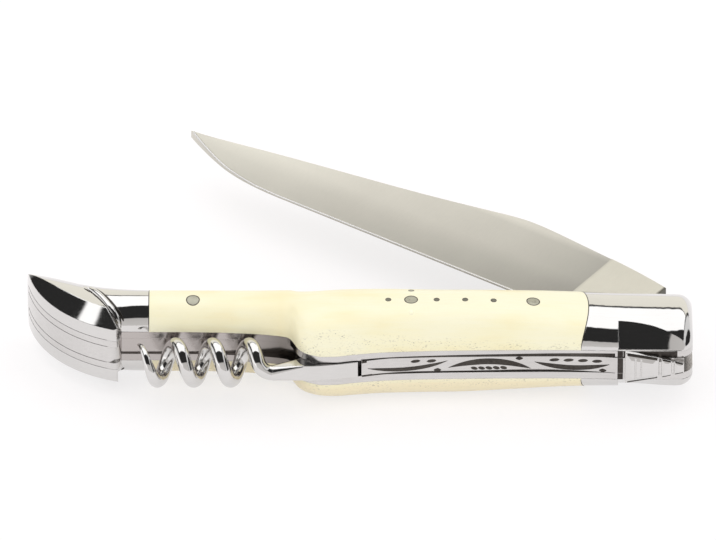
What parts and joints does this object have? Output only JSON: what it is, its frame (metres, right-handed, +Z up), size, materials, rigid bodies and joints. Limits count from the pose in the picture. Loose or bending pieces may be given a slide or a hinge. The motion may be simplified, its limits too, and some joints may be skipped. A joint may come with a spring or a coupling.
{
  "type": "folding pocket knife",
  "caption": "Spring-back folding pocket knife with bone scales, polished steel bolsters, a pointed blade that folds into the handle and a corkscrew that folds into its back.",
  "frame": {"origin": "on the resting flat of the lower scale, midway along the handle", "axes": "+X along the handle to the head, where the blade turns; +Y to the side that the blade comes out of; +Z up through the thickness, with the knife lying on its side"},
  "size_m": [0.1199, 0.0771, 0.0181],
  "materials": {
    "blade_steel": "satin",
    "polished_steel": "mirror polished steel",
    "spring_steel": "polished",
    "pin_steel": "ground flush",
    "bone": "polished bone"
  },
  "bodies": {
    "handle": {"blade_pivot_pin": "pin_steel", "corkscrew_pivot_pin": "pin_steel", "spring_centre_pin": "pin_steel", "spring_tail_pin": "pin_steel", "liner_top": "spring_steel", "liner_bottom": "spring_steel", "tail_scale_rivets": "pin_steel", "centre_scale_rivets": "pin_steel", "front_scale_rivets": "pin_steel", "scale_bottom": "bone", "scale_top": "bone", "cross_pins": "pin_steel", "head_bolster_top": "polished_steel", "head_bolster_bottom": "polished_steel", "tail_bolster_top": "polished_steel", "tail_bolster_bottom": "polished_steel", "backspring": "spring_steel", "fly": "polished_steel"},
    "blade": {"blade": "blade_steel"},
    "corkscrew": {"corkscrew": "polished_steel"}
  },
  "joints": [
    {"name": "blade_hinge", "type": "hinge", "parent": "handle", "child": "blade", "pos_m": [0.0534, 0.002, 0.00905], "axis": [0, 0, -1], "range_deg": [-32.5, 144.8]},
    {"name": "corkscrew_hinge", "type": "hinge", "parent": "handle", "child": "corkscrew", "pos_m": [-0.0032, -0.00734, 0.00905], "axis": [0, 0, 1], "range_deg": [0, 90]}
  ]
}
